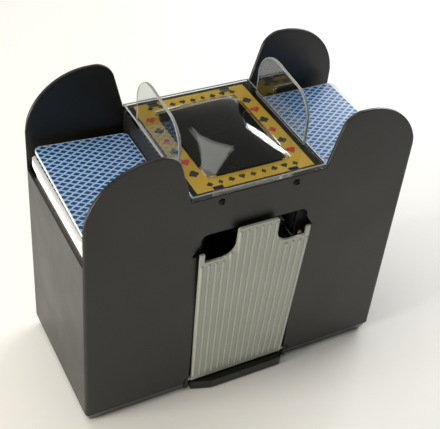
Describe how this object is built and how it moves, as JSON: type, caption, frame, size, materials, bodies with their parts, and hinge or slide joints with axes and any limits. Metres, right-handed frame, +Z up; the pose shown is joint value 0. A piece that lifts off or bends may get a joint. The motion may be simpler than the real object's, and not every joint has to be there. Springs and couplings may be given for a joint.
{
  "type": "automatic card shuffler",
  "caption": "Battery card shuffler with a hopper at each side, a clear top cover and a ribbed front door over the receiving chamber.",
  "frame": {"origin": "on the surface it stands on, below the middle of the case", "axes": "+X to the right along the case's length, -Y out of the front with the door, +Z up"},
  "size_m": [0.2276, 0.115, 0.2134],
  "materials": {
    "case_black": "satin",
    "pan_black": "gloss",
    "foot_rubber": "matte",
    "screw_steel": "zinc plated",
    "screw_black": "black oxide",
    "clear_cover": "clear",
    "label_print": "glossy print",
    "door_clear_grey": "ribbed, smoke clear",
    "inner_black": "satin",
    "bush_brass": "turned",
    "shaft_steel": "ground",
    "contact_steel": "nickel plated",
    "cell_wrap": "printed sleeve",
    "switch_shell": "satin",
    "button_red": "gloss",
    "gear_resin": "acetal",
    "roller_rubber": "matte",
    "motor_can": "plated",
    "playing_cards": "coated card"
  },
  "bodies": {
    "case": {"outer_case": "case_black", "base_pan": "pan_black", "rubber_feet": "foot_rubber", "base_screws": "screw_steel", "top_cover": "clear_cover", "label_card": "label_print", "cover_screws": "screw_black", "receiver_floor": "inner_black", "rear_bearing_plate": "inner_black", "shaft_bushes": "bush_brass", "idler_pins": "shaft_steel", "motor_screws": "screw_steel", "battery_cells": "cell_wrap", "battery_contacts": "contact_steel", "switch_body": "switch_shell", "left_front_plate": "inner_black", "left_chamber_wall": "inner_black", "left_upper_guide": "inner_black", "left_hopper_tray": "inner_black", "left_gate": "shaft_steel", "left_battery_box": "inner_black", "left_motor": "motor_can", "right_front_plate": "inner_black", "right_chamber_wall": "inner_black", "right_upper_guide": "inner_black", "right_hopper_tray": "inner_black", "right_gate": "shaft_steel", "right_battery_box": "inner_black", "right_motor": "motor_can"},
    "door": {"front_door": "door_clear_grey"},
    "button": {"push_button": "button_red", "switch_plunger": "gear_resin"},
    "left_feed": {"left_feed_shaft": "shaft_steel", "left_feed_cores": "gear_resin", "left_feed_tyres": "roller_rubber", "left_feed_gear": "gear_resin"},
    "left_exit": {"left_exit_shaft": "shaft_steel", "left_exit_rollers": "roller_rubber", "left_exit_gear": "gear_resin"},
    "left_idler": {"left_idler_gear": "gear_resin"},
    "left_rotor": {"left_rotor_shaft": "shaft_steel", "left_motor_pinion": "bush_brass"},
    "left_pinch": {"left_pinch_roller": "gear_resin"},
    "left_hatch": {"left_battery_hatch": "pan_black"},
    "left_cards": {"left_card_stack": "playing_cards"},
    "right_feed": {"right_feed_shaft": "shaft_steel", "right_feed_cores": "gear_resin", "right_feed_tyres": "roller_rubber", "right_feed_gear": "gear_resin"},
    "right_exit": {"right_exit_shaft": "shaft_steel", "right_exit_rollers": "roller_rubber", "right_exit_gear": "gear_resin"},
    "right_idler": {"right_idler_gear": "gear_resin"},
    "right_rotor": {"right_rotor_shaft": "shaft_steel", "right_motor_pinion": "bush_brass"},
    "right_pinch": {"right_pinch_roller": "gear_resin"},
    "right_hatch": {"right_battery_hatch": "pan_black"},
    "right_cards": {"right_card_stack": "playing_cards"}
  },
  "joints": [
    {"name": "door_hinge", "type": "hinge", "parent": "case", "child": "door", "pos_m": [0, -0.0503, 0.0106], "axis": [1, 0, 0], "range_deg": [0, 72]},
    {"name": "button_press", "type": "slide", "parent": "case", "child": "button", "axis": [0, -1, 0], "range_m": [0, 0.0015], "stiffness_N_per_m": 500, "springref_m": -0.0005},
    {"name": "left_feed_spin", "type": "hinge", "parent": "case", "child": "left_feed", "pos_m": [-0.0791, 0, 0.1027], "axis": [0, 1, 0], "continuous": true},
    {"name": "left_idler_spin", "type": "hinge", "parent": "case", "child": "left_idler", "pos_m": [-0.05505, 0, 0.1023], "axis": [0, 1, 0], "continuous": true},
    {"name": "left_exit_spin", "type": "hinge", "parent": "case", "child": "left_exit", "pos_m": [-0.0392, 0, 0.1096], "axis": [0, 1, 0], "continuous": true},
    {"name": "left_rotor_spin", "type": "hinge", "parent": "case", "child": "left_rotor", "pos_m": [-0.05505, 0, 0.08605], "axis": [0, 1, 0], "continuous": true},
    {"name": "left_pinch_spin", "type": "hinge", "parent": "case", "child": "left_pinch", "pos_m": [-0.0392, 0, 0.1193], "axis": [0, 1, 0], "continuous": true},
    {"name": "left_hatch_hinge", "type": "hinge", "parent": "case", "child": "left_hatch", "pos_m": [-0.1032, 0, 0.002], "axis": [0, 1, 0], "range_deg": [0, 100]},
    {"name": "left_cards_lift", "type": "slide", "parent": "case", "child": "left_cards", "axis": [0, 0, 1], "range_m": [0, 0.09]},
    {"name": "right_feed_spin", "type": "hinge", "parent": "case", "child": "right_feed", "pos_m": [0.0791, 0, 0.1027], "axis": [0, 1, 0], "continuous": true},
    {"name": "right_idler_spin", "type": "hinge", "parent": "case", "child": "right_idler", "pos_m": [0.05505, 0, 0.1023], "axis": [0, 1, 0], "continuous": true},
    {"name": "right_exit_spin", "type": "hinge", "parent": "case", "child": "right_exit", "pos_m": [0.0392, 0, 0.1096], "axis": [0, 1, 0], "continuous": true},
    {"name": "right_rotor_spin", "type": "hinge", "parent": "case", "child": "right_rotor", "pos_m": [0.05505, 0, 0.08605], "axis": [0, 1, 0], "continuous": true},
    {"name": "right_pinch_spin", "type": "hinge", "parent": "case", "child": "right_pinch", "pos_m": [0.0392, 0, 0.1193], "axis": [0, 1, 0], "continuous": true},
    {"name": "right_hatch_hinge", "type": "hinge", "parent": "case", "child": "right_hatch", "pos_m": [0.1032, 0, 0.002], "axis": [0, -1, 0], "range_deg": [0, 100]},
    {"name": "right_cards_lift", "type": "slide", "parent": "case", "child": "right_cards", "axis": [0, 0, 1], "range_m": [0, 0.09]}
  ],
  "couplings": [
    {"joint": "left_idler_spin", "follows": "left_feed_spin", "ratio": -0.81818},
    {"joint": "left_exit_spin", "follows": "left_feed_spin", "ratio": 2.5714},
    {"joint": "left_rotor_spin", "follows": "left_feed_spin", "ratio": 3.6},
    {"joint": "right_idler_spin", "follows": "right_feed_spin", "ratio": -0.81818},
    {"joint": "right_exit_spin", "follows": "right_feed_spin", "ratio": 2.5714},
    {"joint": "right_rotor_spin", "follows": "right_feed_spin", "ratio": 3.6}
  ]
}
